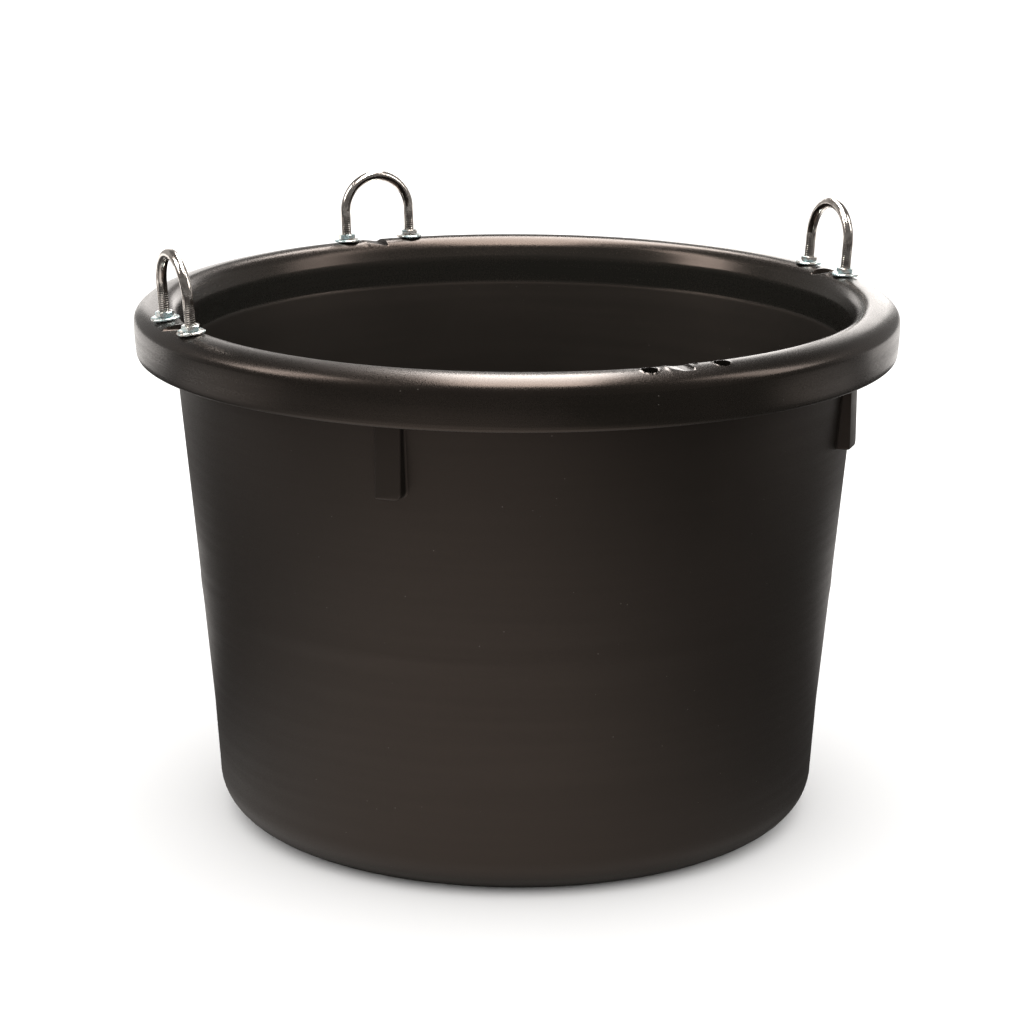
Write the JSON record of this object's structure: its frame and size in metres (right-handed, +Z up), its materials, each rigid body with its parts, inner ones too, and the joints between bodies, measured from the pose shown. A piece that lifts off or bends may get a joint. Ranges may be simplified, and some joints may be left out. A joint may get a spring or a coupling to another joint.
{
  "type": "feed bucket",
  "caption": "Round moulded feed tub with tapered wall, heavy rolled rim and steel U-bolt hanging loops bolted through the rim.",
  "frame": {"origin": "middle of the base, on the surface that the tub stands on", "axes": "+Z up along the tub's axis; U-bolts on +X, +Y and -X of the rim, empty holes on -Y"},
  "size_m": [0.4572, 0.4572, 0.3592],
  "materials": {
    "tub_plastic": "satin black moulded polyethylene",
    "bright_zinc": "bright zinc-plated steel"
  },
  "bodies": {
    "root": {"lower_nut_back_1": "bright_zinc", "lower_nut_back_2": "bright_zinc", "lower_nut_left_1": "bright_zinc", "lower_nut_left_2": "bright_zinc", "lower_nut_right_1": "bright_zinc", "lower_nut_right_2": "bright_zinc", "lower_washer_back_1": "bright_zinc", "lower_washer_back_2": "bright_zinc", "lower_washer_left_1": "bright_zinc", "lower_washer_left_2": "bright_zinc", "lower_washer_right_1": "bright_zinc", "lower_washer_right_2": "bright_zinc", "tub": "tub_plastic", "u_bolt_back": "bright_zinc", "u_bolt_left": "bright_zinc", "u_bolt_right": "bright_zinc", "upper_nut_back_1": "bright_zinc", "upper_nut_back_2": "bright_zinc", "upper_nut_left_1": "bright_zinc", "upper_nut_left_2": "bright_zinc", "upper_nut_right_1": "bright_zinc", "upper_nut_right_2": "bright_zinc", "upper_washer_back_1": "bright_zinc", "upper_washer_back_2": "bright_zinc", "upper_washer_left_1": "bright_zinc", "upper_washer_left_2": "bright_zinc", "upper_washer_right_1": "bright_zinc", "upper_washer_right_2": "bright_zinc"}
  },
  "joints": []
}
